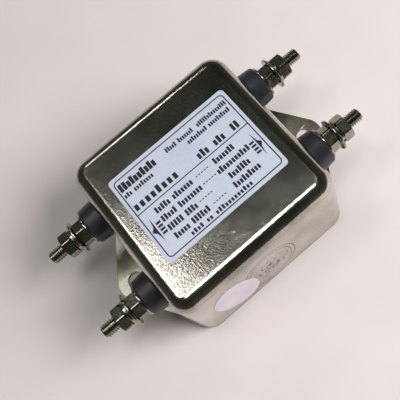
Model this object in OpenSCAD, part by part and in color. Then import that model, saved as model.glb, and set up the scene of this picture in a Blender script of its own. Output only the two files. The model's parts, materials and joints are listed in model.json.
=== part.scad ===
// Power-line EMI filter in a drawn steel can, with a stud terminal pair at each end
// and a mounting ear under each pair.
// X runs from the LINE end to the LOAD end, Z is up, and the origin is the middle of
// the underside of the base plate. Sizes are in millimetres.

/* [Can] */
// Length of the can between its terminal walls
can_length = 54.4; // [54:0.2:64]
// Width of the can
can_width = 54.4; // [54:0.2:64]
// Height from the underside of the base plate to the top of the can
case_height = 33; // [32.5:0.5:40]
// Thickness of the drawn sheet
sheet = 0.8; // [0.6:0.1:1]
// Outer radius of the rounded top edge
edge_radius = 4.2; // [2.5:0.1:4.8]
// Outer radius of the upright corners
corner_radius = 5.4; // [5:0.1:7]

/* [Base plate] */
// Thickness of the base plate and its ears
plate_thickness = 1; // [0.8:0.1:1.5]
// Distance between the two mounting holes
hole_spacing = 68; // [67:0.5:72]
// Diameter of the mounting holes
hole_diameter = 5; // [4:0.1:5.5]
// Radius of the rounded ear tip round the mounting hole
ear_tip_radius = 5.8; // [5:0.1:6.2]

/* [Terminals] */
// Distance of each stud from the can's side wall
terminal_inset = 13.9; // [13.2:0.1:14.6]
// Distance of the stud axes below the top of the can
terminal_drop = 10.3; // [10:0.1:11]
// Stud thread diameter
stud_diameter = 4; // [3.6:0.1:4]
// Length of stud that stands out of the can wall
stud_reach = 18.8; // [18:0.2:24]
// Length of the chamfer on the stud tip
stud_chamfer = 0.5; // [0.3:0.1:0.7]
// Length of the insulating bushing outside the wall
bushing_length = 5.2; // [4.5:0.1:6]
// Bushing diameter where it meets the wall
bushing_root_diameter = 12; // [11.5:0.1:12.6]
// Bushing diameter at its outer face
bushing_face_diameter = 11.2; // [10.6:0.1:11.4]
// Rounding of the bushing's outer rim
bushing_rim = 0.7; // [0.4:0.1:0.9]
// Diameter of the bushing neck that passes through the wall
bushing_neck_diameter = 7.5; // [7:0.1:8]
// Width of a hexagon nut across its flats
nut_flats = 7; // [6.8:0.1:7.4]
// Height of a hexagon nut
nut_height = 3.2; // [2.8:0.1:3.4]
// Turn of each seat nut: LINE -Y, LINE +Y, LOAD -Y, LOAD +Y
seat_nut_turn = [41, 50, 47, 25];
// Turn of each terminal nut, in the same order
terminal_nut_turn = [41, 52, 47, 25];
// Outer diameter of the washer on the bushing's face
seat_washer_diameter = 9.6; // [9:0.1:10]
// Thickness of the washer on the bushing's face
seat_washer_thickness = 0.6; // [0.5:0.1:0.8]
// Outer diameter of the flat washer between the nuts
flat_washer_diameter = 9; // [8.6:0.1:9.6]
// Thickness of the flat washer between the nuts
flat_washer_thickness = 0.7; // [0.5:0.1:0.9]
// Outer diameter of the spring washer
spring_washer_diameter = 7.6; // [7.2:0.1:8]
// Thickness of the spring washer
spring_washer_thickness = 1.1; // [0.9:0.1:1.2]
// Width of the slit in the spring washer
spring_washer_slit = 0.8; // [0.5:0.1:1]

/* [Stickers] */
// Length of the rating label
label_length = 41; // [38:0.5:42]
// Width of the rating label
label_width = 29.6; // [28:0.2:32]
// Corner radius of the rating label
label_corner = 1.2; // [0.8:0.1:2]
// Thickness of the rating label
label_thickness = 0.15; // [0.1:0.05:0.3]
// Shift of the label from the middle of the top along X
label_shift_x = 0.45; // [-1:0.05:1]
// Shift of the label from the middle of the top along Y
label_shift_y = 0.35; // [-1:0.05:1]
// Long diameter of the oval sticker on the side wall
sticker_height = 21.2; // [18:0.2:22]
// Short diameter of the oval sticker
sticker_width = 13.2; // [12:0.2:14]
// Thickness of the oval sticker
sticker_thickness = 0.1; // [0.1:0.05:0.2]
// Lean of the oval sticker from upright, degrees
sticker_lean = 17; // [0:1:20]
// Distance of the oval sticker's middle from the middle of the wall
sticker_offset = 12.5; // [11:0.5:13]
// Height of the oval sticker's middle
sticker_middle = 13.6; // [13.4:0.1:14.2]

/* [Terminal parts inside] */
// Thickness of the insulating washer behind the wall
insulator_thickness = 1.5; // [1.2:0.1:1.8]
// Diameter of the insulating washer behind the wall
insulator_diameter = 11; // [10:0.5:12]
// Thickness of the stud's hexagon head
stud_head_thickness = 2.2; // [1.8:0.1:2.4]
// Diameter of the solder pin at the inner end of the stud
solder_pin_diameter = 2.4; // [2:0.1:2.6]
// Length of the solder pin
solder_pin_length = 3; // [2.6:0.1:3.2]
// Diameter of the hook-up wires
hookup_diameter = 1.3; // [1:0.1:1.4]

/* [Circuit board] */
// Thickness of the insulating sheet over the base plate
insulation_thickness = 0.4; // [0.3:0.1:0.6]
// Height of the threaded standoffs
standoff_height = 3.4; // [3.2:0.2:4]
// Width of the standoffs across flats
standoff_flats = 5; // [4.8:0.1:5.4]
// Thickness of the circuit board
board_thickness = 1.6; // [1.2:0.1:1.6]
// Gap between the board's edge and the can
board_margin = 1.8; // [1.5:0.1:2]
// Inset of the board's screws from its edges
screw_inset = 4; // [3.8:0.1:4.2]
// Diameter of the board screws
screw_diameter = 2.5; // [2:0.1:2.6]
// Diameter of the board screws' heads
screw_head_diameter = 4.5; // [4.2:0.1:4.8]
// Height of the board screws' heads
screw_head_height = 1.5; // [1.2:0.1:1.8]
// Length of a board screw under its head
screw_length = 4; // [3.6:0.2:4.4]

/* [Choke] */
// Outer diameter of the ring core
core_outer = 24; // [23.5:0.5:25]
// Inner diameter of the ring core
core_inner = 14; // [13.6:0.2:15]
// Height of the ring core
core_height = 10; // [8:0.5:12]
// Rounding of the core's edges
core_rounding = 1; // [0.5:0.1:1.5]
// Diameter of the winding wire
wire_diameter = 1.3; // [1:0.1:1.3]
// Turns in each of the two windings
turns = 8; // [5:1:8]
// Angle from one turn to the next
turn_step = 16; // [15:0.5:17]
// Thickness of the choke's base disc
choke_base_thickness = 1.2; // [1:0.1:2]
// Inset of the base disc's edge from the core's outside
choke_base_inset = 1; // [0.5:0.1:1.5]

/* [Capacitors and resistor] */
// Length of an X capacitor
x_cap_length = 18; // [16:0.5:19]
// Thickness of an X capacitor
x_cap_thickness = 7.6; // [6:0.2:7.8]
// Height of an X capacitor
x_cap_height = 13; // [10:0.5:13.5]
// Rounding of an X capacitor's upright edges
x_cap_rounding = 0.6; // [0.4:0.1:1]
// Gap between the windings and an X capacitor
x_cap_gap = 1; // [0.6:0.1:1.4]
// Distance between an X capacitor's leads
x_cap_pitch = 15; // [12:0.5:15]
// Diameter of a Y capacitor's disc
y_cap_diameter = 9; // [8:0.2:9.6]
// Thickness of a Y capacitor
y_cap_thickness = 4; // [3:0.1:4.4]
// Distance between a Y capacitor's leads
y_cap_pitch = 6; // [5:0.2:6.6]
// Distance of each Y capacitor from the board's middle line
y_cap_offset = 7; // [6.6:0.1:7.4]
// Inset of the Y capacitors and the resistor from the board's edge
edge_row_inset = 4.6; // [4.4:0.1:4.8]
// Length of the resistor's body
resistor_length = 6.4; // [6:0.1:7]
// Diameter of the resistor's body
resistor_diameter = 2.4; // [2:0.1:2.6]
// Distance between the resistor's leads
resistor_pitch = 11; // [10:0.5:13]
// Diameter of the capacitors' leads
lead_diameter = 0.8; // [0.6:0.1:0.9]

/* [Clearances] */
// Gap round a threaded or turned pin in its bore
thread_clearance = 0.05; // [0.03:0.01:0.1]
// Gap round a bushing, a lead or a post in its hole
hole_clearance = 0.2; // [0.1:0.05:0.3]
// Gap between a part and the face it nearly touches
seat_gap = 0.1; // [0.05:0.05:0.2]
// Length of a lead below the board
lead_tail = 1; // [0.6:0.1:1.2]

/* [Hidden] */
$fn = 64;
eps = 0.01;
side_signs = [-1, 1];

inner_length = can_length - 2 * sheet;
inner_width = can_width - 2 * sheet;
ear_root = can_width / 2 - corner_radius;
wall_face = can_length / 2;
terminal_spacing = can_width - 2 * terminal_inset;
terminal_height = case_height - terminal_drop;

// Hardware stack outside the wall, measured from the wall's outer face
seat_washer_at = bushing_length;
seat_nut_at = seat_washer_at + seat_washer_thickness;
flat_washer_at = seat_nut_at + nut_height;
spring_washer_at = flat_washer_at + flat_washer_thickness;
terminal_nut_at = spring_washer_at + spring_washer_thickness;
stud_bore = stud_diameter + 2 * thread_clearance;
wall_hole = bushing_neck_diameter + 2 * hole_clearance;
hex_corner = 1 / cos(30);
nut_chamfer_run = 0.9;

// Terminal parts inside the wall, measured inwards from the wall's outer face
insulator_at = sheet;
stud_head_at = insulator_at + insulator_thickness;
solder_pin_at = stud_head_at + stud_head_thickness;
hookup_x = wall_face - solder_pin_at - solder_pin_length / 2;
hookup_top = terminal_height - solder_pin_diameter / 2 - seat_gap;

// Circuit board and what stands on it
board_bottom = plate_thickness + standoff_height;
board_top = board_bottom + board_thickness;
board_length = inner_length - 2 * board_margin;
board_width = inner_width - 2 * board_margin;
board_corner = corner_radius - sheet - board_margin;
screw_x = board_length / 2 - screw_inset;
screw_y = board_width / 2 - screw_inset;
screw_pilot = screw_diameter + 2 * thread_clearance;
screw_reach = screw_length - board_thickness + 2 * hole_clearance;
lead_end = board_bottom - lead_tail;
edge_row_y = board_width / 2 - edge_row_inset;
y_cap_middle = board_top + seat_gap + y_cap_diameter / 2;
resistor_axis = board_top + seat_gap + resistor_diameter / 2;

// Path of the choke's wire round the core
wire_radius = wire_diameter / 2;
wire_outer = core_outer / 2 + seat_gap + wire_radius;
wire_inner = core_inner / 2 - seat_gap - wire_radius;
wire_bottom = board_top + choke_base_thickness + wire_radius + eps;
core_bottom = wire_bottom + wire_radius + seat_gap;
wire_top = core_bottom + core_height + seat_gap + wire_radius;
winding_start = 90 - turns * turn_step / 2;
winding_end = 90 + turns * turn_step / 2;
choke_base_radius = core_outer / 2 - choke_base_inset;
x_cap_x = wire_outer + wire_radius + x_cap_gap + x_cap_thickness / 2;

// ---- Shared shapes ----

// Flat rounded rectangle, centred
module rounded_outline(length, width, radius) {
    square([length - 2 * radius, width], center = true);
    square([length, width - 2 * radius], center = true);
    for (x = side_signs, y = side_signs)
        translate([x * (length / 2 - radius), y * (width / 2 - radius)])
            circle(radius);
}

// Upright section of a bar with a rounded top edge on both sides
module rounded_section(width, height, rounding) {
    translate([-width / 2, 0])
        square([width, height - rounding]);
    translate([-width / 2 + rounding, 0])
        square([width - 2 * rounding, height]);
    for (x = side_signs)
        translate([x * (width / 2 - rounding), height - rounding])
            circle(rounding);
}

// Upright corner post with a rounded top edge
module corner_post(radius, height, rounding) {
    rotate_extrude()
        intersection() {
            rounded_section(2 * radius, height, rounding);
            square([radius, height]);
        }
}

// Block with upright corners and a top edge of their own radii, standing on Z = 0
module drawn_block(length, width, height, corner, rounding) {
    for (x = side_signs, y = side_signs)
        translate([x * (length / 2 - corner), y * (width / 2 - corner), 0])
            corner_post(corner, height, rounding);
    translate([-length / 2 + corner, 0, 0])
        rotate([90, 0, 90])
            linear_extrude(length - 2 * corner)
                rounded_section(width, height, rounding);
    translate([0, width / 2 - corner, 0])
        rotate([90, 0, 0])
            linear_extrude(width - 2 * corner)
                rounded_section(length, height, rounding);
}

// One terminal's frame: +Z points out of the wall from the stud's axis on its outer face
module at_terminal(end, side) {
    translate([end * wall_face, side * terminal_spacing / 2, terminal_height])
        rotate([0, end * 90, 0])
            children();
}

// All four terminals, in the order of the turn lists
module at_terminals() {
    for (end = side_signs, side = side_signs)
        at_terminal(end, side)
            children();
}

module ring(outer, inner, thickness) {
    difference() {
        cylinder(d = outer, h = thickness);
        translate([0, 0, -eps])
            cylinder(d = inner, h = thickness + 2 * eps);
    }
}

// Straight round wire from one point to another
module wire_run(from, to, diameter) {
    run = to - from;
    flat = norm([run.x, run.y]);
    translate(from)
        rotate([0, atan2(flat, run.z), atan2(run.y, run.x)])
            cylinder(d = diameter, h = norm(run), $fn = 24);
}

// Hexagon nut with chamfered corners on both faces
module hex_nut(flats, height, bore) {
    corners = flats * hex_corner;
    chamfer = (corners - flats) / 2 * nut_chamfer_run;
    difference() {
        intersection() {
            cylinder(d = corners, h = height, $fn = 6);
            rotate_extrude()
                polygon([
                    [0, 0],
                    [flats / 2, 0],
                    [corners / 2, chamfer],
                    [corners / 2, height - chamfer],
                    [flats / 2, height],
                    [0, height]
                ]);
        }
        translate([0, 0, -eps])
            cylinder(d = bore, h = height + 2 * eps);
    }
}

// ---- Case ----

module can() {
    color([0.24, 0.26, 0.23])
        difference() {
            translate([0, 0, plate_thickness])
                drawn_block(can_length, can_width, case_height - plate_thickness,
                    corner_radius, edge_radius);
            translate([0, 0, plate_thickness - eps])
                drawn_block(inner_length, inner_width,
                    case_height - plate_thickness - sheet + eps,
                    corner_radius - sheet, edge_radius - sheet);
            at_terminals()
                translate([0, 0, -2 * sheet])
                    cylinder(d = wall_hole, h = 3 * sheet);
        }
}

// Point where an ear's straight side meets the arc of its tip
function ear_touch_point(side) =
    let (
        run = hole_spacing / 2 - wall_face,
        reach = norm([run, ear_root]),
        angle = 180 - atan2(ear_root, run) - acos(ear_tip_radius / reach)
    )
    [hole_spacing / 2 + ear_tip_radius * cos(angle), side * ear_tip_radius * sin(angle)];

// One ear's outline towards +X: straight sides run from the wall to touch the tip's arc
module ear_outline() {
    translate([hole_spacing / 2, 0])
        circle(ear_tip_radius);
    polygon([
        [0, -ear_root],
        [wall_face, -ear_root],
        ear_touch_point(-1),
        [hole_spacing / 2, 0],
        ear_touch_point(1),
        [wall_face, ear_root],
        [0, ear_root]
    ]);
}

module base_plate() {
    color([0.45, 0.46, 0.42])
        difference() {
            linear_extrude(plate_thickness) {
                rounded_outline(can_length, can_width, corner_radius);
                ear_outline();
                mirror([1, 0])
                    ear_outline();
            }
            for (end = side_signs)
                translate([end * hole_spacing / 2, 0, -eps])
                    cylinder(d = hole_diameter, h = plate_thickness + 2 * eps);
        }
}

module label() {
    color([0.8, 0.84, 0.91])
        translate([label_shift_x, label_shift_y, case_height])
            linear_extrude(label_thickness)
                rounded_outline(label_length, label_width, label_corner);
}

module side_sticker() {
    points = 48;
    color([0.86, 0.82, 0.85])
        translate([-sticker_offset, -can_width / 2, sticker_middle])
            rotate([90, 0, 0])
                linear_extrude(sticker_thickness)
                    rotate(sticker_lean)
                        polygon([for (i = [0 : points - 1])
                            [cos(i * 360 / points) * sticker_width / 2,
                             sin(i * 360 / points) * sticker_height / 2]]);
}

// ---- Terminals ----

// Insulating bushing: a tapered collar outside the wall and a neck through it
module bushing(end, side) {
    face = bushing_face_diameter / 2;
    color([0.1, 0.1, 0.11])
        at_terminal(end, side)
            difference() {
                union() {
                    rotate_extrude() {
                        polygon([
                            [0, 0],
                            [bushing_root_diameter / 2, 0],
                            [face, bushing_length - bushing_rim],
                            [face - bushing_rim, bushing_length],
                            [0, bushing_length]
                        ]);
                        translate([face - bushing_rim, bushing_length - bushing_rim])
                            circle(bushing_rim);
                    }
                    translate([0, 0, -sheet])
                        cylinder(d = bushing_neck_diameter, h = sheet + eps);
                }
                translate([0, 0, -2 * sheet])
                    cylinder(d = stud_bore, h = bushing_length + 3 * sheet);
            }
}

module insulators() {
    color([0.85, 0.83, 0.76])
        at_terminals()
            translate([0, 0, -stud_head_at])
                ring(insulator_diameter, stud_bore, insulator_thickness);
}

// Threaded stud with a hexagon head and a solder pin inside the can
module stud(end, side) {
    radius = stud_diameter / 2;
    color([0.72, 0.71, 0.66])
        at_terminal(end, side) {
            rotate_extrude()
                polygon([
                    [0, -stud_head_at - eps],
                    [radius, -stud_head_at - eps],
                    [radius, stud_reach - stud_chamfer],
                    [radius - stud_chamfer, stud_reach],
                    [0, stud_reach]
                ]);
            translate([0, 0, -solder_pin_at])
                cylinder(d = nut_flats * hex_corner, h = stud_head_thickness, $fn = 6);
            translate([0, 0, -solder_pin_at - solder_pin_length])
                cylinder(d = solder_pin_diameter, h = solder_pin_length + eps);
        }
}

module seat_washers() {
    color([0.78, 0.77, 0.72])
        at_terminals()
            translate([0, 0, seat_washer_at])
                ring(seat_washer_diameter, stud_bore, seat_washer_thickness);
}

// One nut on each stud, each at its own turn
module nut_set(height_on_stud, turn) {
    for (i = [0 : 3])
        at_terminal(i < 2 ? -1 : 1, i % 2 == 0 ? -1 : 1)
            translate([0, 0, height_on_stud])
                rotate(turn[i])
                    hex_nut(nut_flats, nut_height, stud_bore);
}

module seat_nuts() {
    color([0.62, 0.61, 0.55])
        nut_set(seat_nut_at, seat_nut_turn);
}

module terminal_nuts() {
    color([0.62, 0.61, 0.55])
        nut_set(terminal_nut_at, terminal_nut_turn);
}

module flat_washers() {
    color([0.74, 0.73, 0.68])
        at_terminals()
            translate([0, 0, flat_washer_at])
                ring(flat_washer_diameter, stud_bore, flat_washer_thickness);
}

// Split lock washers, slit at a slant
module spring_washers() {
    color([0.7, 0.69, 0.64])
        at_terminals()
            translate([0, 0, spring_washer_at])
                difference() {
                    ring(spring_washer_diameter, stud_bore, spring_washer_thickness);
                    translate([spring_washer_diameter / 2, 0, spring_washer_thickness / 2])
                        rotate([25, 0, 0])
                            cube([spring_washer_diameter, spring_washer_slit,
                                4 * spring_washer_thickness], center = true);
                }
}

// ---- Circuit board ----

module at_standoffs() {
    for (x = side_signs, y = side_signs)
        translate([x * screw_x, y * screw_y, 0])
            children();
}

module insulation_sheet() {
    color([0.9, 0.9, 0.85])
        translate([0, 0, plate_thickness])
            linear_extrude(insulation_thickness)
                difference() {
                    rounded_outline(inner_length - 2 * hole_clearance,
                        inner_width - 2 * hole_clearance,
                        corner_radius - sheet - hole_clearance);
                    at_standoffs()
                        circle(d = standoff_flats * hex_corner + 2 * hole_clearance);
                }
}

module standoffs() {
    color([0.78, 0.62, 0.3])
        at_standoffs()
            translate([0, 0, plate_thickness])
                difference() {
                    cylinder(d = standoff_flats * hex_corner, h = standoff_height, $fn = 6);
                    translate([0, 0, standoff_height - screw_reach])
                        cylinder(d = screw_pilot, h = screw_reach + eps);
                }
}

module board_hole(x, y, diameter) {
    translate([x, y])
        circle(d = diameter + 2 * hole_clearance, $fn = 32);
}

module board() {
    color([0.2, 0.42, 0.25])
        translate([0, 0, board_bottom])
            linear_extrude(board_thickness)
                difference() {
                    rounded_outline(board_length, board_width, board_corner);
                    at_standoffs()
                        circle(d = screw_diameter + 2 * hole_clearance);
                    for (side = side_signs, angle = [winding_start, winding_end])
                        board_hole(wire_outer * cos(angle), side * wire_outer * sin(angle),
                            wire_diameter);
                    for (end = side_signs, side = side_signs) {
                        board_hole(end * x_cap_x, side * x_cap_pitch / 2, lead_diameter);
                        board_hole(end * y_cap_offset + side * y_cap_pitch / 2, edge_row_y,
                            lead_diameter);
                        board_hole(end * hookup_x, side * terminal_spacing / 2,
                            hookup_diameter);
                    }
                    for (end = side_signs)
                        board_hole(end * resistor_pitch / 2, -edge_row_y, lead_diameter);
                }
}

// Pan-head screws that hold the board to its standoffs
module board_screws() {
    slot_width = 0.6;
    color([0.75, 0.75, 0.72])
        at_standoffs()
            translate([0, 0, board_top])
                difference() {
                    union() {
                        rotate_extrude()
                            polygon([
                                [0, 0],
                                [screw_head_diameter / 2, 0],
                                [screw_head_diameter / 2, screw_head_height / 2],
                                [screw_head_diameter / 2 - screw_head_height / 2,
                                    screw_head_height],
                                [0, screw_head_height]
                            ]);
                        translate([0, 0, -screw_length])
                            cylinder(d = screw_diameter, h = screw_length + eps);
                    }
                    translate([0, 0, screw_head_height])
                        cube([screw_head_diameter, slot_width, screw_head_height],
                            center = true);
                }
}

// ---- Choke ----

module choke_base() {
    color([0.16, 0.16, 0.17])
        translate([0, 0, board_top])
            cylinder(r = choke_base_radius, h = choke_base_thickness);
}

module choke_core() {
    radial = (core_outer - core_inner) / 2;
    color([0.25, 0.45, 0.32])
        translate([0, 0, core_bottom])
            rotate_extrude()
                translate([core_inner / 2 + radial / 2, core_height / 2])
                    rounded_outline(radial, core_height, core_rounding);
}

// Point on the wire's path at a radius, an angle and a height
function wire_point(radius, angle, height) =
    [radius * cos(angle), radius * sin(angle), height];

// Corners of one winding's path: down a lead, over the core and back under it each turn
function winding_path() = [
    wire_point(wire_outer, winding_start, lead_end),
    for (i = [0 : turns - 1])
        let (
            out_angle = winding_start + i * turn_step,
            in_angle = out_angle + turn_step / 2
        )
        each [
            wire_point(wire_outer, out_angle, wire_top),
            wire_point(wire_inner, in_angle, wire_top),
            wire_point(wire_inner, in_angle, wire_bottom),
            wire_point(wire_outer, out_angle + turn_step, wire_bottom)
        ],
    wire_point(wire_outer, winding_end, lead_end)
];

// Wire laid along the path, with a ball at each bend a hair larger than the wire
module winding() {
    path = winding_path();
    last = len(path) - 1;
    bend_diameter = wire_diameter + 2 * eps;
    color([0.72, 0.4, 0.2]) {
        for (i = [0 : last - 1])
            wire_run(path[i], path[i + 1], wire_diameter);
        for (i = [1 : last - 1])
            translate(path[i])
                sphere(d = bend_diameter, $fn = 24);
    }
}

module winding_a() {
    winding();
}

module winding_b() {
    mirror([0, 1, 0])
        winding();
}

// ---- Capacitors, resistor and hook-up wires ----

module lead(x, y, top, diameter) {
    translate([x, y, lead_end])
        cylinder(d = diameter, h = top - lead_end, $fn = 24);
}

module x_capacitor(end) {
    color([0.85, 0.72, 0.2])
        translate([end * x_cap_x, 0, board_top])
            linear_extrude(x_cap_height)
                rounded_outline(x_cap_thickness, x_cap_length, x_cap_rounding);
    color([0.75, 0.75, 0.72])
        for (side = side_signs)
            lead(end * x_cap_x, side * x_cap_pitch / 2, board_top + eps, lead_diameter);
}

module y_capacitor(end) {
    radius = y_cap_diameter / 2;
    half = y_cap_thickness / 2;
    color([0.15, 0.35, 0.65])
        translate([end * y_cap_offset, edge_row_y, y_cap_middle])
            rotate([90, 0, 0])
                rotate_extrude()
                    polygon([
                        [0, -half],
                        [radius - half, -half],
                        [radius, -half / 3],
                        [radius, half / 3],
                        [radius - half, half],
                        [0, half]
                    ]);
    color([0.75, 0.75, 0.72])
        for (side = side_signs)
            lead(end * y_cap_offset + side * y_cap_pitch / 2, edge_row_y, y_cap_middle,
                lead_diameter);
}

module resistor() {
    barrel = resistor_diameter * 0.84;
    cap_length = resistor_length / 5;
    half = resistor_length / 2;
    color([0.8, 0.7, 0.5])
        translate([-half, -edge_row_y, resistor_axis])
            rotate([0, 90, 0]) {
                cylinder(d = barrel, h = resistor_length);
                for (at = [0, resistor_length - cap_length])
                    translate([0, 0, at])
                        cylinder(d = resistor_diameter, h = cap_length);
            }
    color([0.75, 0.75, 0.72])
        for (side = side_signs) {
            bend = [side * resistor_pitch / 2, -edge_row_y, resistor_axis];
            wire_run([side * (half - eps), -edge_row_y, resistor_axis], bend,
                lead_diameter);
            translate(bend)
                sphere(d = lead_diameter + 2 * eps, $fn = 24);
            lead(bend.x, bend.y, bend.z, lead_diameter);
        }
}

// Stiff wire from under a stud's solder pin down through the board
module hookup(end, side) {
    color([0.8, 0.5, 0.3])
        lead(end * hookup_x, side * terminal_spacing / 2, hookup_top, hookup_diameter);
}

// ---- Part ----

can();
base_plate();
label();
side_sticker();
bushing(-1, -1);  // bushing_line_a
bushing(-1, 1);  // bushing_line_b
bushing(1, -1);  // bushing_load_a
bushing(1, 1);  // bushing_load_b
stud(-1, -1);  // stud_line_a
stud(-1, 1);  // stud_line_b
stud(1, -1);  // stud_load_a
stud(1, 1);  // stud_load_b
insulators();
seat_washers();
seat_nuts();
flat_washers();
spring_washers();
terminal_nuts();
insulation_sheet();
standoffs();
board();
board_screws();
choke_base();
choke_core();
winding_a();
winding_b();
x_capacitor(-1);  // x_capacitor_line
x_capacitor(1);  // x_capacitor_load
y_capacitor(-1);  // y_capacitor_line
y_capacitor(1);  // y_capacitor_load
resistor();
hookup(-1, -1);  // hookup_line_a
hookup(-1, 1);  // hookup_line_b
hookup(1, -1);  // hookup_load_a
hookup(1, 1);  // hookup_load_b
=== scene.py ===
# %% [markdown]
# # A power-line EMI filter
# A filter like this is bolted into a cabinet and cleans the mains supply of a machine. It is a
# can drawn from sheet steel, with two threaded studs in black bushings at each end.
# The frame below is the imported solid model. Every piece made here takes its place from it.

# %% Load the frame
import json
import math
import random

import bmesh
import bpy
from mathutils import Matrix, Vector


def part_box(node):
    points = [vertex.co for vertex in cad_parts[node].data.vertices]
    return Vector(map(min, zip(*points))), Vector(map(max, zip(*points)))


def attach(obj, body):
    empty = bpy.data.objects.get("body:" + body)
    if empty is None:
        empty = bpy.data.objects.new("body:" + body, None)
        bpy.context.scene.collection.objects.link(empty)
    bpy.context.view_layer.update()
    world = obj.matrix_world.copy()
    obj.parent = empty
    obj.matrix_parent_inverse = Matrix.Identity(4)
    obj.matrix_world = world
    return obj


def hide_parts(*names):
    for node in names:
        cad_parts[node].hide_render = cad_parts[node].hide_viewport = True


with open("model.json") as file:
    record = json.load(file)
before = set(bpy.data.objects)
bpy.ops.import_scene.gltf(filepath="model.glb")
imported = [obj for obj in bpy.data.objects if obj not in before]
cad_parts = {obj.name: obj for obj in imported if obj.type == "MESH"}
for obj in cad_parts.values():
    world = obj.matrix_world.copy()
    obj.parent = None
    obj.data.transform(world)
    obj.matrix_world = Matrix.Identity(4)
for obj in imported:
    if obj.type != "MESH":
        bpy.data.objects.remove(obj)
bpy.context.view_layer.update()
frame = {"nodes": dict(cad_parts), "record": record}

MM = 0.001

# %% [markdown]
# ## The camera
# The camera looks down on the filter from high in front of its plain side. Its place and its
# three axes are written out, because a lens this close shows perspective: the near edge of the
# can looks longer than the far one. The small shift only moves the picture in its frame.

# %% Place the camera
eye = Vector((-2.401, -76.790, 214.769)) * MM
right = Vector((0.75907, -0.62340, -0.18758))
up = Vector((0.64398, 0.67678, 0.35674))
back = Vector((-0.09544, -0.39159, 0.91518))
camera_data = bpy.data.cameras.new("camera")
camera_data.sensor_width = 36
camera_data.lens = 65.9
camera_data.shift_x = -0.1015
camera_data.shift_y = -0.1671
camera_data.clip_start = 0.01
camera = bpy.data.objects.new("camera", camera_data)
camera.matrix_world = Matrix.Translation(eye) @ Matrix((right, up, back)).transposed().to_4x4()
bpy.context.scene.collection.objects.link(camera)
bpy.context.scene.camera = camera
print("camera height in mm:", round(eye.z / MM, 1))

# %% [markdown]
# ## One helper for materials
# Colours are written as the hex values that a paint chart gives, and turned to linear light once.
# A second helper adds one shader node with its settings and links. All materials use these two.

# %% Colours and nodes
def colour(code):
    """Linear RGBA of an sRGB hex colour."""
    parts = [int(code[i:i + 2], 16) / 255 for i in (1, 3, 5)]
    linear = [c / 12.92 if c <= 0.04045 else ((c + 0.055) / 1.055) ** 2.4 for c in parts]
    return (*linear, 1.0)


def add(tree, kind, settings=None, links=None):
    """One node: settings go to its properties or sockets, links come from other sockets."""
    node = tree.nodes.new(kind)
    for key, value in (settings or {}).items():
        if isinstance(key, int) or key in node.inputs:
            node.inputs[key].default_value = value
        else:
            setattr(node, key, value)
    for key, source in (links or {}).items():
        tree.links.new(source, node.inputs[key])
    return node


def new_material(name):
    """An empty material, its node tree and its finished surface node."""
    material = bpy.data.materials.new(name)
    material.use_nodes = True
    tree = material.node_tree
    surface = tree.nodes["Principled BSDF"]
    return material, tree, surface


# %% [markdown]
# ## A base for every finish
# Most finishes here differ in the same few ways: two close tones that drift into each other, a
# grain of a real size that lifts the surface a little, and a gloss that is not quite even. So
# one function builds these three, and each material then says what it is and adds its own marks.
# A noise texture on Object coordinates runs in metres, so a grain of g mm needs scale 1000 / g.

# %% Two tones, a grain and an uneven gloss
def grained(name, light, dark, grain_mm, lift_mm, gloss, metallic=0.0, patch_mm=8.0, ior=1.5):
    """A surface that drifts between two tones in patches and has a fine raised grain."""
    material, tree, surface = new_material(name)
    place = add(tree, "ShaderNodeTexCoord").outputs["Object"]
    patches = add(tree, "ShaderNodeTexNoise", {"Scale": 1000 / patch_mm, "Detail": 3.0},
                  {"Vector": place})
    grain = add(tree, "ShaderNodeTexNoise", {"Scale": 1000 / grain_mm, "Detail": 2.0},
                {"Vector": place})
    both = add(tree, "ShaderNodeMath", {"operation": "ADD"},
               {0: patches.outputs["Fac"], 1: grain.outputs["Fac"]})
    spread = add(tree, "ShaderNodeMapRange", {"From Min": 0.75, "From Max": 1.25},
                 {"Value": both.outputs[0]})
    tones = add(tree, "ShaderNodeMix", {"data_type": "RGBA", 6: colour(dark), 7: colour(light)},
                {"Factor": spread.outputs["Result"]})
    shine = add(tree, "ShaderNodeMapRange", {"To Min": gloss[0], "To Max": gloss[1]},
                {"Value": patches.outputs["Fac"]})
    bump = add(tree, "ShaderNodeBump", {"Strength": 1.0, "Distance": lift_mm * MM},
               {"Height": grain.outputs["Fac"]})
    tree.links.new(tones.outputs[2], surface.inputs["Base Color"])
    tree.links.new(shine.outputs["Result"], surface.inputs["Roughness"])
    tree.links.new(bump.outputs["Normal"], surface.inputs["Normal"])
    surface.inputs["Metallic"].default_value = metallic
    if metallic < 0.5:
        surface.inputs["IOR"].default_value = ior
    return material, tree, surface


# %% [markdown]
# ## The finishes that show
# The can is bright nickel on drawn steel. Nickel is a warm grey metal, and the plated sheet has a
# crystal grain that sparkles where a lamp is nearly mirrored. The real grain is finer than a tenth
# of a millimetre. It is drawn 0.4 mm wide, because a finer one would not show in a picture.
# The ears and the bottom are the same sheet, rubbed duller. The bushings are moulded phenolic, a
# hard black resin with a dull skin. The fasteners are plated too, but turned and rolled, so they
# are smoother than the can and show darker edges.

# %% Plated metal
plated_can = grained(
    "nickel_plated_drawn_steel", "#d8d2c8", "#958f84", 0.40, 0.028, (0.13, 0.18), 1.0, 14.0)[0]
plated_plate = grained(
    "nickel_plated_sheet_rubbed", "#aeac9c", "#8a8878", 0.5, 0.010, (0.26, 0.40), 1.0, 6.0)[0]
plated_hardware = grained(
    "nickel_plated_fasteners", "#b9b6a8", "#949182", 0.6, 0.005, (0.15, 0.26), 1.0, 2.4)[0]

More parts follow.
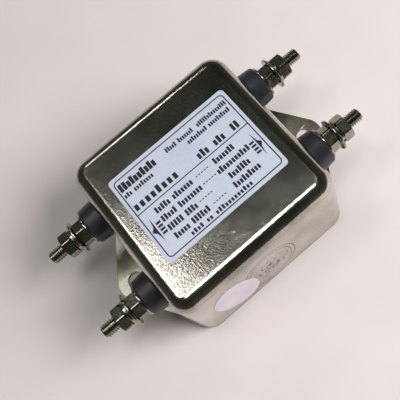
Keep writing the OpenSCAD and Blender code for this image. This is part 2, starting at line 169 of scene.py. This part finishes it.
# %% Resin, label film, ink and paper
black_phenolic = grained(
    "moulded_black_phenolic", "#2b2c33", "#191a1f", 0.35, 0.012, (0.34, 0.50), 0.0, 3.0, 1.6)[0]
label_film = grained(
    "polyester_label_film", "#cdd3e4", "#c3cadc", 1.2, 0.002, (0.30, 0.42), 0.0, 16.0, 1.57)[0]
label_ink = grained(
    "black_label_ink", "#15161c", "#0b0c10", 0.5, 0.002, (0.42, 0.55), 0.0, 3.0, 1.5)[0]
sticker_paper = grained(
    "coated_sticker_paper", "#f0e6f1", "#e2d6e2", 0.6, 0.006, (0.50, 0.66), 0.0, 5.0, 1.5)[0]
stamp_ink, _, surface = grained(
    "rubber_stamp_ink", "#6a6a80", "#505066", 0.3, 0.002, (0.50, 0.62), 0.0, 1.5, 1.5)
surface.inputs["Alpha"].default_value = 0.45

# %% [markdown]
# ## The finishes inside
# Nobody sees these until the can is cut open, but a buyer of the model may look. Each one is the
# usual stuff of its part: ceramic, fibre sheet, brass, glass-fibre board, nylon, ferrite with a
# painted skin, enamelled copper, and the yellow and blue coats that capacitors are known by.

# %% Inner parts
inner = {
    "ivory_insulator": ("steatite_ceramic", "#e4dcc6", "#d2c9b2", 0.3, 0.004, (0.4, 0.55), 0, 4, 1.6),
    "insulating_paper": ("pressed_fibre_sheet", "#e6e0cf", "#d0c8b2", 0.5, 0.02, (0.7, 0.85), 0, 6, 1.5),
    "brass_standoff": ("turned_brass", "#d9b56a", "#b48f48", 0.4, 0.006, (0.2, 0.34), 1, 3, 1.5),
    "green_board": ("solder_mask_on_glass_fibre", "#2f6b3f", "#24552f", 0.8, 0.01, (0.25, 0.4), 0, 8, 1.5),
    "plated_screw": ("zinc_plated_screws", "#c4c4c0", "#9a9a96", 0.5, 0.006, (0.2, 0.34), 1, 2, 1.5),
    "black_nylon": ("moulded_black_nylon", "#2a2a2d", "#1c1c1f", 0.4, 0.01, (0.4, 0.55), 0, 4, 1.53),
    "coated_ferrite": ("painted_ferrite", "#47795c", "#376349", 0.5, 0.02, (0.35, 0.5), 0, 4, 1.5),
    "enamelled_copper": ("enamelled_copper_wire", "#c97c45", "#9c5426", 0.6, 0.004, (0.15, 0.28), 1, 3, 1.5),
    "yellow_case": ("moulded_yellow_case", "#e2bd42", "#cda52e", 0.5, 0.008, (0.3, 0.42), 0, 6, 1.5),
    "blue_coating": ("dipped_epoxy_coat", "#2f62a6", "#234e8a", 0.9, 0.02, (0.2, 0.34), 0, 3, 1.55),
    "resistor_lacquer": ("lacquered_resistor_body", "#d9c08e", "#c6aa74", 0.5, 0.01, (0.3, 0.45), 0, 2, 1.5),
    "tinned_copper": ("tinned_copper_wire", "#c8c4bc", "#a39e95", 0.5, 0.004, (0.2, 0.32), 1, 2, 1.5),
}
finish_of = {slot: grained(*values)[0] for slot, values in inner.items()}
finish_of.update({
    "plated_can": plated_can,
    "plated_plate": plated_plate,
    "plated_hardware": plated_hardware,
    "black_phenolic": black_phenolic,
    "label_film": label_film,
    "sticker_paper": sticker_paper,
})
for part in frame["record"]["subparts"]:
    node = frame["nodes"][part["node"]]
    for index in range(len(node.material_slots)):
        node.material_slots[index].material = finish_of[part["material_slot"]]

# %% [markdown]
# ## From a bmesh to a piece
# Every new piece is shaped in millimetres, because that is how the part is thought of, and made
# metres once at the end. Doubles are merged before the normals are worked out, so that a seam
# is closed first. Flat faces keep flat shading next to rounded ones with face-weighted normals.

# %% Finish a piece
def make_piece(bm, name, material, stands_for=(), crease=35):
    """Close, orient, scale and link a bmesh, and let it ride on the filter's one body."""
    bmesh.ops.remove_doubles(bm, verts=bm.verts, dist=0.0005)
    bmesh.ops.recalc_face_normals(bm, faces=bm.faces)
    bmesh.ops.scale(bm, vec=(MM, MM, MM), verts=bm.verts)
    open_edges = sum(1 for edge in bm.edges if not edge.is_manifold)
    mesh = bpy.data.meshes.new(name)
    for face in bm.faces:
        face.smooth = True
    bm.to_mesh(mesh)
    bm.free()
    mesh.set_sharp_from_angle(angle=math.radians(crease))
    mesh.materials.append(material)
    piece = bpy.data.objects.new(name, mesh)
    bpy.context.scene.collection.objects.link(piece)
    weighted = piece.modifiers.new("weighted normals", "WEIGHTED_NORMAL")
    weighted.keep_sharp = True
    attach(piece, "root")
    if stands_for:
        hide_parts(*stands_for)
    print(f"{name}: {len(mesh.polygons)} faces, {open_edges} open edges")
    return piece


def node_box(name):
    """The box of a CAD node in millimetres."""
    low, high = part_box(name)
    return low / MM, high / MM


# %% [markdown]
# ## The drawn can
# The real can is pressed from one flat sheet by a punch, so all its corners are round and its
# wall has one thickness. A bevelled box gives the same form: the upright edges first, then the
# rim of the top. The bottom is opened, the four bushing holes are filled round in the two end
# walls, and solidify gives the sheet its thickness, inwards.

# %% Terminal places
can_low, can_high = node_box("can")
stud_box = {name: node_box("stud_" + name) for name in ("line_a", "line_b", "load_a", "load_b")}
terminals = {}
for name, (low, high) in stud_box.items():
    middle = (low + high) / 2
    end = -1 if "line" in name else 1
    spot = Vector((end * can_high.x, middle.y, middle.z))
    terminals[name] = Matrix.Translation(spot) @ Matrix.Rotation(math.radians(90 * end), 4, "Y")
print("terminals:", sorted(terminals))

# %% Shape the can
SHEET = 0.8
CORNER_RADIUS = 5.4
EDGE_RADIUS = 4.2
WALL_HOLE = 3.95


def is_upright(edge):
    return abs(edge.verts[0].co.z - edge.verts[1].co.z) > 1


def is_on_top(edge):
    return all(abs(vert.co.z - can_high.z) < 0.01 for vert in edge.verts)


can = bmesh.new()
bmesh.ops.create_cube(can, size=1)
bmesh.ops.scale(can, vec=can_high - can_low, verts=can.verts)
bmesh.ops.translate(can, vec=(can_high + can_low) / 2, verts=can.verts)
bmesh.ops.bevel(can, geom=[e for e in can.edges if is_upright(e)], offset=CORNER_RADIUS,
                offset_type="OFFSET", segments=14, profile=0.5, affect="EDGES", material=-1)
bmesh.ops.bevel(can, geom=[e for e in can.edges if is_on_top(e)], offset=EDGE_RADIUS,
                offset_type="OFFSET", segments=12, profile=0.5, affect="EDGES", material=-1)
bottom = [f for f in can.faces if f.normal.z < -0.9]
bmesh.ops.delete(can, geom=bottom, context="FACES_ONLY")

# %% Open the holes for the bushings
for end in (-1, 1):
    wall = [f for f in can.faces if f.normal.x * end > 0.999 and f.calc_area() > 200]
    rim = [edge for face in wall for edge in face.edges]
    bmesh.ops.delete(can, geom=wall, context="FACES_ONLY")
    for matrix in terminals.values():
        if matrix.translation.x * end < 0:
            continue
        hole = bmesh.ops.create_circle(can, segments=40, radius=WALL_HOLE, matrix=matrix)
        rim += {edge for vert in hole["verts"] for edge in vert.link_edges}
    bmesh.ops.triangle_fill(can, edges=rim, use_beauty=True)
bmesh.ops.recalc_face_normals(can, faces=can.faces)
if max(can.faces, key=lambda f: f.calc_area()).normal.z < 0:
    bmesh.ops.reverse_faces(can, faces=can.faces)
bmesh.ops.solidify(can, geom=can.faces, thickness=SHEET)
make_piece(can, "drawn_can", plated_can, ["can"])

# %% [markdown]
# ## The base plate and its ears
# The plate is blanked from sheet, and the punch leaves a slightly rolled edge that catches light.
# Its outline is already right in the solid model, so a copy is merged
# and only the sharp edges get a narrow bevel.

# %% Shape the base plate
plate = bmesh.new()
plate.from_mesh(frame["nodes"]["base_plate"].data)
bmesh.ops.scale(plate, vec=(1 / MM, 1 / MM, 1 / MM), verts=plate.verts)
bmesh.ops.remove_doubles(plate, verts=plate.verts, dist=0.001)
sharp = [e for e in plate.edges if e.is_manifold and e.calc_face_angle() > math.radians(60)]
bmesh.ops.bevel(plate, geom=sharp, offset=0.12, offset_type="OFFSET", segments=2, profile=0.5,
                affect="EDGES", material=-1)
make_piece(plate, "blanked_base_plate", plated_plate, ["base_plate"])

# %% [markdown]
# ## The terminals
# Each terminal is a threaded stud through a black bushing, held by a washer and a nut. A flat
# washer, a spring washer and a second nut wait there for the cable lug. All of these are turned
# or rolled round one axis, so they are spun from half a section, along Z, and then laid on
# their stud with the terminal's own matrix.

# %% Spin helper
def arc(centre_r, centre_z, radius, start, stop, steps):
    """Points of an arc in the half section, as (r, z), from one angle to another in degrees."""
    angles = [start + (stop - start) * i / steps for i in range(steps + 1)]
    return [(centre_r + radius * math.cos(math.radians(a)),
             centre_z + radius * math.sin(math.radians(a))) for a in angles]


def spun(bm, section, steps=64, closed=True):
    """Spin a half section of (r, z) points once round Z."""
    verts = [bm.verts.new((r, 0, z)) for r, z in section]
    pairs = list(zip(verts, verts[1:]))
    if closed:
        pairs.append((verts[-1], verts[0]))
    edges = [bm.edges.new(pair) for pair in pairs]
    bmesh.ops.spin(bm, geom=verts + edges, cent=(0, 0, 0), axis=(0, 0, 1), dvec=(0, 0, 0),
                   angle=math.tau, steps=steps, use_merge=True)
    return bm


def rounded_ring(inner_r, outer_r, low, high, radius):
    """The half section of a flat ring with rounded edges."""
    return [
        (inner_r, low),
        *arc(outer_r - radius, low + radius, radius, -90, 0, 3),
        *arc(outer_r - radius, high - radius, radius, 0, 90, 3),
        (inner_r, high),
    ]


# %% Bushings
BORE = 2.05
NECK = 3.75
ROOT_RADIUS = 6.0
FACE_RADIUS = 5.6
RIM = 0.7
bushing_low, bushing_high = node_box("bushing_load_a")
BUSHING_LENGTH = bushing_high.x - can_high.x
for name, matrix in terminals.items():
    section = [
        (BORE, -SHEET),
        (NECK, -SHEET),
        (NECK, 0.02),
        (ROOT_RADIUS - 0.15, 0.02),
        (ROOT_RADIUS, 0.17),
        (FACE_RADIUS + 0.06, BUSHING_LENGTH - RIM - 0.5),
        *arc(FACE_RADIUS - RIM, BUSHING_LENGTH - RIM, RIM, 4, 90, 8),
        (4.7, BUSHING_LENGTH),
        (BORE + 0.2, BUSHING_LENGTH),
        (BORE, BUSHING_LENGTH - 0.2),
    ]
    bushing = spun(bmesh.new(), section, 96)
    bmesh.ops.transform(bushing, matrix=matrix, verts=bushing.verts)
    make_piece(bushing, "bushing_moulded_" + name, black_phenolic,
               ["bushing_" + name])

# %% [markdown]
# ## Washers
# The flat washers are stamped, with one rounded and one sharper edge. The spring washer is a
# turn of square wire, cut through and sprung a little, so it is spun a few degrees short of a
# full turn while it climbs, and its two ends are capped.

# %% Heights along a stud
SEAT_WASHER = (BUSHING_LENGTH, node_box("seat_washers")[1].x - can_high.x)
SEAT_NUT = (SEAT_WASHER[1], node_box("seat_nuts")[1].x - can_high.x)
FLAT_WASHER = (SEAT_NUT[1], node_box("flat_washers")[1].x - can_high.x)
SPRING_WASHER = (FLAT_WASHER[1], node_box("spring_washers")[1].x - can_high.x)
TERMINAL_NUT = (SPRING_WASHER[1], node_box("terminal_nuts")[1].x - can_high.x)
STUD_TIP = node_box("stud_load_a")[1].x - can_high.x
print("nut to tip in mm:", round(STUD_TIP - TERMINAL_NUT[1], 2))


def on_all_terminals(shape):
    """One bmesh with the same shape laid on all four studs."""
    whole = bmesh.new()
    for index, matrix in enumerate(terminals.values()):
        single = bmesh.new()
        shape(single, index)
        bmesh.ops.transform(single, matrix=matrix, verts=single.verts)
        mesh = bpy.data.meshes.new("single")
        single.to_mesh(mesh)
        single.free()
        whole.from_mesh(mesh)
        bpy.data.meshes.remove(mesh)
    return whole


# %% Washers
SEAT_WASHER_RADIUS = 4.8
FLAT_WASHER_RADIUS = 5.0
SPRING_BORE = 2.15
SPRING_RADIUS = 3.8
SPRING_CLIMB = 0.16


def seat_washer(bm, index):
    spun(bm, rounded_ring(BORE, SEAT_WASHER_RADIUS, *SEAT_WASHER, 0.14))


def flat_washer(bm, index):
    spun(bm, rounded_ring(BORE, FLAT_WASHER_RADIUS, *FLAT_WASHER, 0.22))


def spring_washer(bm, index):
    low, high = SPRING_WASHER
    top = high - SPRING_CLIMB
    section = [(SPRING_BORE, low + 0.1), (SPRING_BORE + 0.1, low), (SPRING_RADIUS - 0.15, low),
               (SPRING_RADIUS, low + 0.15), (SPRING_RADIUS, top - 0.15),
               (SPRING_RADIUS - 0.15, top), (SPRING_BORE + 0.1, top), (SPRING_BORE, top - 0.1)]
    verts = [bm.verts.new((r, 0, z)) for r, z in section]
    edges = [bm.edges.new(pair) for pair in zip(verts, verts[1:] + verts[:1])]
    steps = 56
    bmesh.ops.spin(bm, geom=verts + edges, cent=(0, 0, 0), axis=(0, 0, 1),
                   dvec=(0, 0, SPRING_CLIMB / steps), angle=math.radians(348), steps=steps)
    bmesh.ops.holes_fill(bm, edges=[e for e in bm.edges if e.is_boundary], sides=0)
    turn = Matrix.Rotation(math.radians(70 + 95 * index), 4, "Z")
    bmesh.ops.transform(bm, matrix=turn, verts=bm.verts)


make_piece(on_all_terminals(seat_washer), "washers_on_bushings", plated_hardware,
           ["seat_washers"])
make_piece(on_all_terminals(flat_washer), "washers_flat", plated_hardware,
           ["flat_washers"])
make_piece(on_all_terminals(spring_washer), "washers_spring", plated_hardware,
           ["spring_washers"])

# %% [markdown]
# ## Hexagon nuts
# A nut is cut from hexagon bar and its corners are turned off by a cone at 30 degrees, which is
# what makes the curved edges on its flats. Here a circle is extruded ring by ring. On the two
# outer rings each point moves out to the hexagon and down along the cone, so the same curved
# edges appear. The corners are cut back a little, because plating rounds them and they catch
# the light there.

# %% Nut
FLATS = 7.0
NUT_RINGS = 96
CORNER_CUT = 3.95
CONE = math.tan(math.radians(30))
COUNTERSINK = 0.3


def hexagon_radius(angle):
    """Distance from the axis to the nut's outline at an angle, with the corner cut back."""
    off = (math.degrees(angle + math.pi / 6) + 30) % 60 - 30
    return min(FLATS / 2 / math.cos(math.radians(off)), CORNER_CUT)


def next_ring(bm, ring, radius, height):
    """Extrude a ring of edges and move each new point by its angle."""
    made = bmesh.ops.extrude_edge_only(bm, edges=ring)["geom"]
    for vert in (g for g in made if isinstance(g, bmesh.types.BMVert)):
        angle = math.atan2(vert.co.y, vert.co.x)
        r = radius(angle)
        vert.co = (r * math.cos(angle), r * math.sin(angle), height(r))
    return [g for g in made if isinstance(g, bmesh.types.BMEdge)]


def hexagon_nut(bm, low, high, turn):
    """One nut between two heights, with its corners turned by an angle in degrees."""
    bmesh.ops.create_circle(bm, segments=NUT_RINGS, radius=BORE + COUNTERSINK,
                            matrix=Matrix.Translation((0, 0, low)))
    first = list(bm.edges)
    seat = FLATS / 2 - 0.12
    ring = next_ring(bm, first, lambda a: seat, lambda r: low)
    ring = next_ring(bm, ring, hexagon_radius, lambda r: low + (r - seat) * CONE)
    ring = next_ring(bm, ring, hexagon_radius, lambda r: high - (r - seat) * CONE)
    ring = next_ring(bm, ring, lambda a: seat, lambda r: high)
    ring = next_ring(bm, ring, lambda a: BORE + COUNTERSINK, lambda r: high)
    ring = next_ring(bm, ring, lambda a: BORE, lambda r: high - COUNTERSINK)
    ring = next_ring(bm, ring, lambda a: BORE, lambda r: low + COUNTERSINK)
    bmesh.ops.bridge_loops(bm, edges=ring + first)
    bmesh.ops.rotate(bm, cent=(0, 0, 0), matrix=Matrix.Rotation(math.radians(turn), 3, "Z"),
                     verts=bm.verts)


SEAT_NUT_TURN = (41, 50, 47, 25)
TERMINAL_NUT_TURN = (41, 52, 47, 25)


def seat_nut(bm, index):
    hexagon_nut(bm, *SEAT_NUT, SEAT_NUT_TURN[index])


def terminal_nut(bm, index):
    hexagon_nut(bm, *TERMINAL_NUT, TERMINAL_NUT_TURN[index])


make_piece(on_all_terminals(seat_nut), "nuts_on_bushings", plated_hardware,
           ["seat_nuts"], crease=50)
make_piece(on_all_terminals(terminal_nut), "nuts_for_lugs", plated_hardware,
           ["terminal_nuts"], crease=50)

# %% [markdown]
# ## Threaded studs
# A rolled M4 thread has a pitch of 0.7 mm and flanks at 60 degrees. A helix can be spun: the
# section of many teeth goes once round the axis and climbs one pitch, so its end meets its own
# start one tooth further on, and merging the doubles closes the seam. The ends are cut square
# with bisect_plane and filled, and the last points are drawn in to a 45-degree chamfer.

# %% Thread
PITCH = 0.7
THREAD_OUT = 2.0
THREAD_ROOT = 1.57
CHAMFER = 0.5
INSULATOR = 1.5
HEAD_HEIGHT = 2.2
HEAD = (-SHEET - INSULATOR - HEAD_HEIGHT, -SHEET - INSULATOR)
PIN_TIP = HEAD[0] - 3.0
PIN_RADIUS = 1.2


def threaded_end(bm, low, high):
    """A threaded rod between two heights, closed at both ends."""
    teeth = int((high - low) / PITCH) + 4
    section = []
    for tooth in range(teeth):
        z = low + (tooth - 2) * PITCH
        section += [(THREAD_ROOT, z), (THREAD_ROOT, z + 0.175), (THREAD_OUT, z + 0.394),
                    (THREAD_OUT, z + 0.481)]
    verts = [bm.verts.new((r, 0, z)) for r, z in section]
    edges = [bm.edges.new(pair) for pair in zip(verts, verts[1:])]
    steps = 40
    bmesh.ops.spin(bm, geom=verts + edges, cent=(0, 0, 0), axis=(0, 0, 1),
                   dvec=(0, 0, PITCH / steps), angle=math.tau, steps=steps)
    bmesh.ops.remove_doubles(bm, verts=bm.verts, dist=0.001)
    for z, outward in ((low, -1), (high, 1)):
        everything = list(bm.verts) + list(bm.edges) + list(bm.faces)
        bmesh.ops.bisect_plane(bm, geom=everything, dist=0.0001, plane_co=(0, 0, z),
                               plane_no=(0, 0, outward), clear_outer=True)
        rim = [e for e in bm.edges if e.is_boundary
               and all(abs(v.co.z - z) < 0.001 for v in e.verts)]
        bmesh.ops.triangle_fill(bm, edges=rim, use_beauty=True)
    for vert in bm.verts:
        reach = Vector((vert.co.x, vert.co.y)).length
        allowed = THREAD_OUT - CHAMFER + (high - vert.co.z)
        if reach > allowed:
            vert.co.x *= allowed / reach
            vert.co.y *= allowed / reach


def stud(bm):
    """Solder pin, hexagon head and shank inside and in the bushing, threaded end outside."""
    thread_low = TERMINAL_NUT[0] + 0.6
    threaded_end(bm, thread_low, STUD_TIP)
    spun(bm, [(0, HEAD[1] - 0.1), (THREAD_OUT, HEAD[1] - 0.1), (THREAD_OUT, thread_low + 0.1),
              (0, thread_low + 0.1)], 48, closed=False)
    spun(bm, [(0, PIN_TIP), (PIN_RADIUS - 0.2, PIN_TIP), (PIN_RADIUS, PIN_TIP + 0.2),
              (PIN_RADIUS, HEAD[0] + 0.1), (0, HEAD[0] + 0.1)], 32, closed=False)
    bmesh.ops.create_cone(bm, cap_ends=True, segments=6, radius1=FLATS / math.sqrt(3),
                          radius2=FLATS / math.sqrt(3), depth=HEAD[1] - HEAD[0],
                          matrix=Matrix.Translation((0, 0, sum(HEAD) / 2)))


for name, matrix in terminals.items():
    rod = bmesh.new()
    stud(rod)
    bmesh.ops.transform(rod, matrix=matrix, verts=rod.verts)
    make_piece(rod, "stud_threaded_" + name, plated_hardware,
               ["stud_" + name], crease=30)

# %% [markdown]
# ## The label
# A label is a printed film, a tenth of a millimetre thick. Its film is a rounded plate with
# a soft edge, and its print is a second thin layer on it. The wording of the real one belongs
# to its maker, so the print here only keeps the layout: a frame, a dividing line, two arrows and
# rows of short strokes where words would stand.

# %% Label film
label_low, label_high = node_box("label")
FILM_TOP = label_high.z - 0.02
FILM_CORNER = 1.2
film = bmesh.new()
bmesh.ops.create_cube(film, size=1)
film_size = Vector((label_high.x - label_low.x, label_high.y - label_low.y, FILM_TOP - label_low.z))
bmesh.ops.scale(film, vec=film_size, verts=film.verts)
bmesh.ops.translate(film, vec=((label_high.x + label_low.x) / 2, (label_high.y + label_low.y) / 2,
                               (FILM_TOP + label_low.z) / 2), verts=film.verts)
uprights = [e for e in film.edges if abs(e.verts[0].co.z - e.verts[1].co.z) > 0.05]
bmesh.ops.bevel(film, geom=uprights, offset=FILM_CORNER, offset_type="OFFSET", segments=8,
                profile=0.5, affect="EDGES", material=-1)
film_rim = [e for e in film.edges if all(abs(v.co.z - FILM_TOP) < 0.001 for v in e.verts)]
bmesh.ops.bevel(film, geom=film_rim, offset=0.05, offset_type="OFFSET", segments=2,
                profile=0.5, affect="EDGES", material=-1)
make_piece(film, "label_film", label_film, ["label"])

# %% Print strokes
INK = 0.012
ink = bmesh.new()
dice = random.Random(7)


def stroke(x0, x1, y0, y1):
    """One printed stroke, as a thin plate on the film."""
    made = bmesh.ops.create_cube(ink, size=1)["verts"]
    bmesh.ops.scale(ink, vec=(x1 - x0, y1 - y0, INK), verts=made)
    bmesh.ops.translate(ink, vec=((x0 + x1) / 2, (y0 + y1) / 2, FILM_TOP + INK / 2), verts=made)


def words(x0, x1, y, height, pitch, weight, breaks=()):
    """A row of upright strokes in place of words, with gaps where words would part."""
    count = int((x1 - x0) / pitch)
    for i in range(count):
        if i in breaks:
            continue
        x = x0 + i * pitch
        tall = height if dice.random() < 0.35 else height * 0.74
        stroke(x, x + pitch * weight, y - height / 2, y - height / 2 + tall)


def upright_words(x, y0, y1, width, pitch, weight):
    """The same row, turned to run up the label."""
    for i in range(int((y1 - y0) / pitch)):
        y = y0 + i * pitch
        stroke(x - width / 2, x + width / 2, y, y + pitch * weight)


# %% Frame, dividing line and rows
left, right_edge, low_edge, high_edge = -19.1, 20.0, -13.3, 14.0
LINE = 0.34
CUT = 1.3
LAP = CUT - 0.01
stroke(left + LAP, right_edge - LAP, high_edge - LINE, high_edge)
stroke(left + LAP, right_edge - LAP, low_edge, low_edge + LINE)
stroke(left, left + LINE, low_edge + LAP, high_edge - LAP)
stroke(right_edge - LINE, right_edge, low_edge + LAP, high_edge - LAP)
for sx, x in ((1, left), (-1, right_edge)):
    for sy, y in ((1, low_edge), (-1, high_edge)):
        corner = bmesh.ops.create_circle(ink, segments=4 * 8, radius=CUT)["verts"]
        ring = bmesh.ops.extrude_edge_only(ink, edges=list({e for v in corner for e in v.link_edges}))
        inner_ring = [g for g in ring["geom"] if isinstance(g, bmesh.types.BMVert)]
        bmesh.ops.scale(ink, vec=((CUT - LINE) / CUT,) * 2 + (1,), verts=inner_ring)
        both = corner + inner_ring
        waste = [v for v in both if v.co.x * sx > 0.01 or v.co.y * sy > 0.01]
        keep = [v for v in both if v not in waste]
        bmesh.ops.translate(ink, vec=(x + sx * CUT, y + sy * CUT, FILM_TOP), verts=keep)
        bmesh.ops.delete(ink, geom=waste, context="VERTS")
        quarter = list({f for v in keep for f in v.link_faces})
        up_faces = bmesh.ops.extrude_face_region(ink, geom=quarter)["geom"]
        bmesh.ops.translate(ink, vec=(0, 0, INK),
                            verts=[g for g in up_faces if isinstance(g, bmesh.types.BMVert)])
stroke(left, right_edge, 1.75, 2.05)
words(-18.4, -5.4, 11.3, 2.6, 1.25, 0.84)
words(-2.1, 19.4, 11.3, 1.5, 0.74, 0.72, (5, 13, 14))
words(4.1, 19.4, 9.0, 1.5, 0.74, 0.72, (9,))
words(-18.4, -8.2, 8.6, 1.5, 0.82, 0.70, (3,))
words(-18.2, -1.9, 4.2, 2.5, 1.9, 0.62)
for x0, x1 in ((3.6, 7.6), (9.3, 13.6), (15.6, 18.8)):
    words(x0, x1, 3.9, 2.4, 1.3, 0.70)
rows = ((-0.4, -0.9, 5.9, 13.2), (-3.4, -0.6, 4.9, 16.4), (-6.5, -4.3, 6.6, 14.4),
        (-9.4, -1.8, 5.9, 15.1))
for y, name_end, value_start, value_end in rows:
    words(-14.4, name_end, y, 1.9, 0.98, 0.72, (5,))
    words(value_start, value_end, y, 1.9, 1.0, 0.72)
    for i in range(5):
        stroke(name_end + 0.5 + i * 0.95, name_end + 1.05 + i * 0.95, y - 0.16, y + 0.14)
words(-10.7, 10.4, -11.8, 1.4, 1.05, 0.66, (4, 7))
upright_words(-15.7, -7.0, -2.6, 1.5, 1.1, 0.62)
upright_words(16.9, -7.0, -2.6, 1.5, 1.1, 0.62)


# %% Arrows at the two ends
def arrow(apex, base, y_low, y_high):
    """A flat arrowhead with hollow sides, pointing to one end of the filter."""
    middle = (y_low + y_high) / 2
    points = [(apex, middle), (base, y_high), (base + (apex - base) * 0.35, middle + 1.1)]
    points += [(base + (apex - base) * 0.35, middle - 1.1), (base, y_low)]
    order = [points[0], points[2], points[1], (base, middle), points[4], points[3]]
    verts = [ink.verts.new((x, y, FILM_TOP)) for x, y in order]
    face = bmesh.ops.contextual_create(ink, geom=verts)["faces"]
    lifted = bmesh.ops.extrude_face_region(ink, geom=face)["geom"]
    bmesh.ops.translate(ink, vec=(0, 0, INK),
                        verts=[g for g in lifted if isinstance(g, bmesh.types.BMVert)])


arrow(-18.6, -17.0, -8.7, -0.7)
arrow(19.4, 18.0, -8.9, -0.7)
make_piece(ink, "label_print", label_ink)

# %% [markdown]
# ## The oval sticker and the ink stamp
# A small oval paper sticker and a rubber stamp sit on the plain side. The sticker is a thin
# oval plate. The stamp is two oval rings of thin ink with a scatter of dots between, and it
# carries no words.

# %% Oval helper
side_y = can_low.y


def oval_plate(bm, half_w, half_h, thickness, inner=None, steps=72):
    """A flat oval in the XY plane with a thickness, with an oval hole if inner is given."""
    made = bmesh.ops.create_circle(bm, segments=steps, radius=1, cap_ends=inner is None)["verts"]
    bmesh.ops.scale(bm, vec=(half_w, half_h, 1), verts=made)
    faces = list({f for v in made for f in v.link_faces})
    if inner:
        edges = list({e for v in made for e in v.link_edges})
        ring = bmesh.ops.extrude_edge_only(bm, edges=edges)["geom"]
        scale = (inner[0] / half_w, inner[1] / half_h, 1)
        bmesh.ops.scale(bm, vec=scale, verts=[g for g in ring if isinstance(g, bmesh.types.BMVert)])
        faces = [g for g in ring if isinstance(g, bmesh.types.BMFace)]
    top = bmesh.ops.extrude_face_region(bm, geom=faces)["geom"]
    moved = [g for g in top if isinstance(g, bmesh.types.BMVert)]
    bmesh.ops.translate(bm, vec=(0, 0, thickness), verts=moved)
    return moved


def on_side(x, z, lean):
    """The matrix that stands a flat piece on the plain side of the can."""
    spot = Matrix.Translation((x, side_y, z))
    stand = Matrix.Rotation(math.radians(90), 4, "X")
    return spot @ stand @ Matrix.Rotation(math.radians(lean), 4, "Z")


# %% Sticker
sticker_low, sticker_high = node_box("side_sticker")
STICKER_X = (sticker_low.x + sticker_high.x) / 2
STICKER_Z = (sticker_low.z + sticker_high.z) / 2
paper = bmesh.new()
oval_plate(paper, 6.6, 10.6, 0.09)
bmesh.ops.transform(paper, matrix=on_side(STICKER_X, STICKER_Z, 17), verts=paper.verts)
make_piece(paper, "oval_sticker", sticker_paper, ["side_sticker"])

# %% Stamp
stamp = bmesh.new()
oval_plate(stamp, 8.9, 12.0, 0.01, (8.72, 11.8))
oval_plate(stamp, 7.7, 10.4, 0.01, (7.55, 10.22))
for _ in range(70):
    angle = dice.uniform(0, math.tau)
    reach = dice.uniform(0.1, 0.9)
    x, y = 7.2 * reach * math.cos(angle), 9.6 * reach * math.sin(angle)
    dot = bmesh.new()
    oval_plate(dot, dice.uniform(0.12, 0.34), dice.uniform(0.12, 0.4), 0.01, steps=10)
    bmesh.ops.translate(dot, vec=(x, y, 0), verts=dot.verts)
    mesh = bpy.data.meshes.new("dot")
    dot.to_mesh(mesh)
    dot.free()
    stamp.from_mesh(mesh)
    bpy.data.meshes.remove(mesh)
bmesh.ops.transform(stamp, matrix=on_side(-0.5, 13.4, 0), verts=stamp.verts)
make_piece(stamp, "ink_stamp", stamp_ink)

# %% [markdown]
# ## Floor and light
# The floor is plain and pale. Bright metal is only as good as what it mirrors, so the room is
# dark and each lamp has its own work. The key lamp, off to one side, lights all the colours and
# the floor, and is left out of mirror reflections. The four others are there for the gleams they
# leave on the metal: one above, one high behind the supply end, and two small ones.

# %% Floor
floor_mesh = bmesh.new()
bmesh.ops.create_grid(floor_mesh, x_segments=1, y_segments=1, size=2.5)
floor_data = bpy.data.meshes.new("floor")
floor_mesh.to_mesh(floor_data)
floor_mesh.free()
floor = bpy.data.objects.new("floor", floor_data)
bpy.context.scene.collection.objects.link(floor)
floor_paint = grained(
    "pale_matt_backdrop", "#ece2e0", "#e6dcda", 30.0, 0.01, (0.8, 0.9), 0.0, 400.0, 1.45)[0]
floor_data.materials.append(floor_paint)


# %% Lamps
def lamp(name, direction, distance, size, power):
    """An oval soft lamp that faces the filter from a direction."""
    data = bpy.data.lights.new(name, "AREA")
    data.shape = "ELLIPSE"
    data.size, data.size_y = size
    data.energy = power
    spot = Vector(direction).normalized() * distance + Vector((0, 0, 0.02))
    item = bpy.data.objects.new(name, data)
    item.matrix_world = Matrix.Translation(spot) @ spot.to_track_quat("Z", "Y").to_matrix().to_4x4()
    bpy.context.scene.collection.objects.link(item)
    return item


lamp("overhead_lamp", (0.0, 0.0, 1.0), 1.2, (0.25, 0.34), 2.6)
lamp("end_lamp", (-0.255, 0.28, 0.92), 1.2, (0.28, 0.28), 1.4)
lamp("window_lamp", (0.0, 0.72, 0.70), 1.2, (0.26, 0.08), 0.5)
lamp("corner_lamp", (0.28, 0.17, 0.94), 1.2, (0.05, 0.12), 0.07)
key = lamp("key_lamp", (0.60, -0.46, 0.66), 0.7, (0.42, 0.42), 5.1)
key.visible_glossy = False

# %% Room
world = bpy.data.worlds.new("room")
bpy.context.scene.world = world
world.use_nodes = True
sky = world.node_tree
place = add(sky, "ShaderNodeTexCoord").outputs["Generated"]
height = add(sky, "ShaderNodeSeparateXYZ", None, {0: place}).outputs["Z"]
fade = add(sky, "ShaderNodeMapRange", {"From Min": 0.15, "From Max": 0.75,
                                       "interpolation_type": "SMOOTHSTEP"}, {"Value": height})
tint = add(sky, "ShaderNodeMix", {"data_type": "RGBA", 6: colour("#4a4844"), 7: colour("#2d332b")},
           {"Factor": fade.outputs["Result"]})
sky.links.new(tint.outputs[2], sky.nodes["Background"].inputs["Color"])

# %% Output colours
bpy.context.scene.view_settings.view_transform = "Standard"
